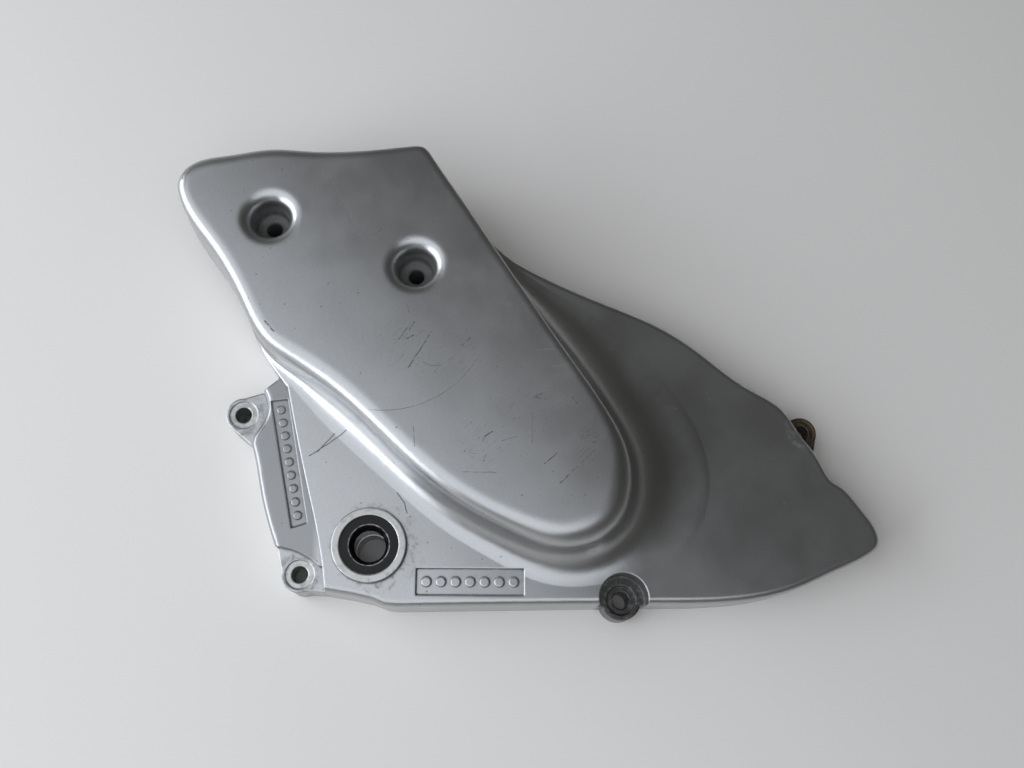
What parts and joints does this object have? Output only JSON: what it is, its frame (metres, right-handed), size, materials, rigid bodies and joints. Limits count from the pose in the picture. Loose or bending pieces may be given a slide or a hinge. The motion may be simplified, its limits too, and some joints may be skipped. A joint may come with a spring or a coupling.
{
  "type": "motorcycle sprocket cover",
  "caption": "Cast cover for a motorcycle's drive sprocket, with a raised chain guard, sunk screw seats, a flat wing, edge lugs and a shift shaft seal.",
  "frame": {"origin": "bottom centre of the bounding box, on the mating face", "axes": "+Z from the mating face out through the outer face, +X towards the wing's tail, +Y towards the guard's open end"},
  "size_m": [0.2872, 0.191, 0.047],
  "materials": {
    "silver_paint": "satin silver paint on die cast aluminium",
    "rubber": "matte black",
    "steel": "plain steel"
  },
  "bodies": {
    "root": {"cover_casting": "silver_paint", "seal_rubber": "rubber", "seal_insert": "steel", "seal_spring": "steel"}
  },
  "joints": []
}
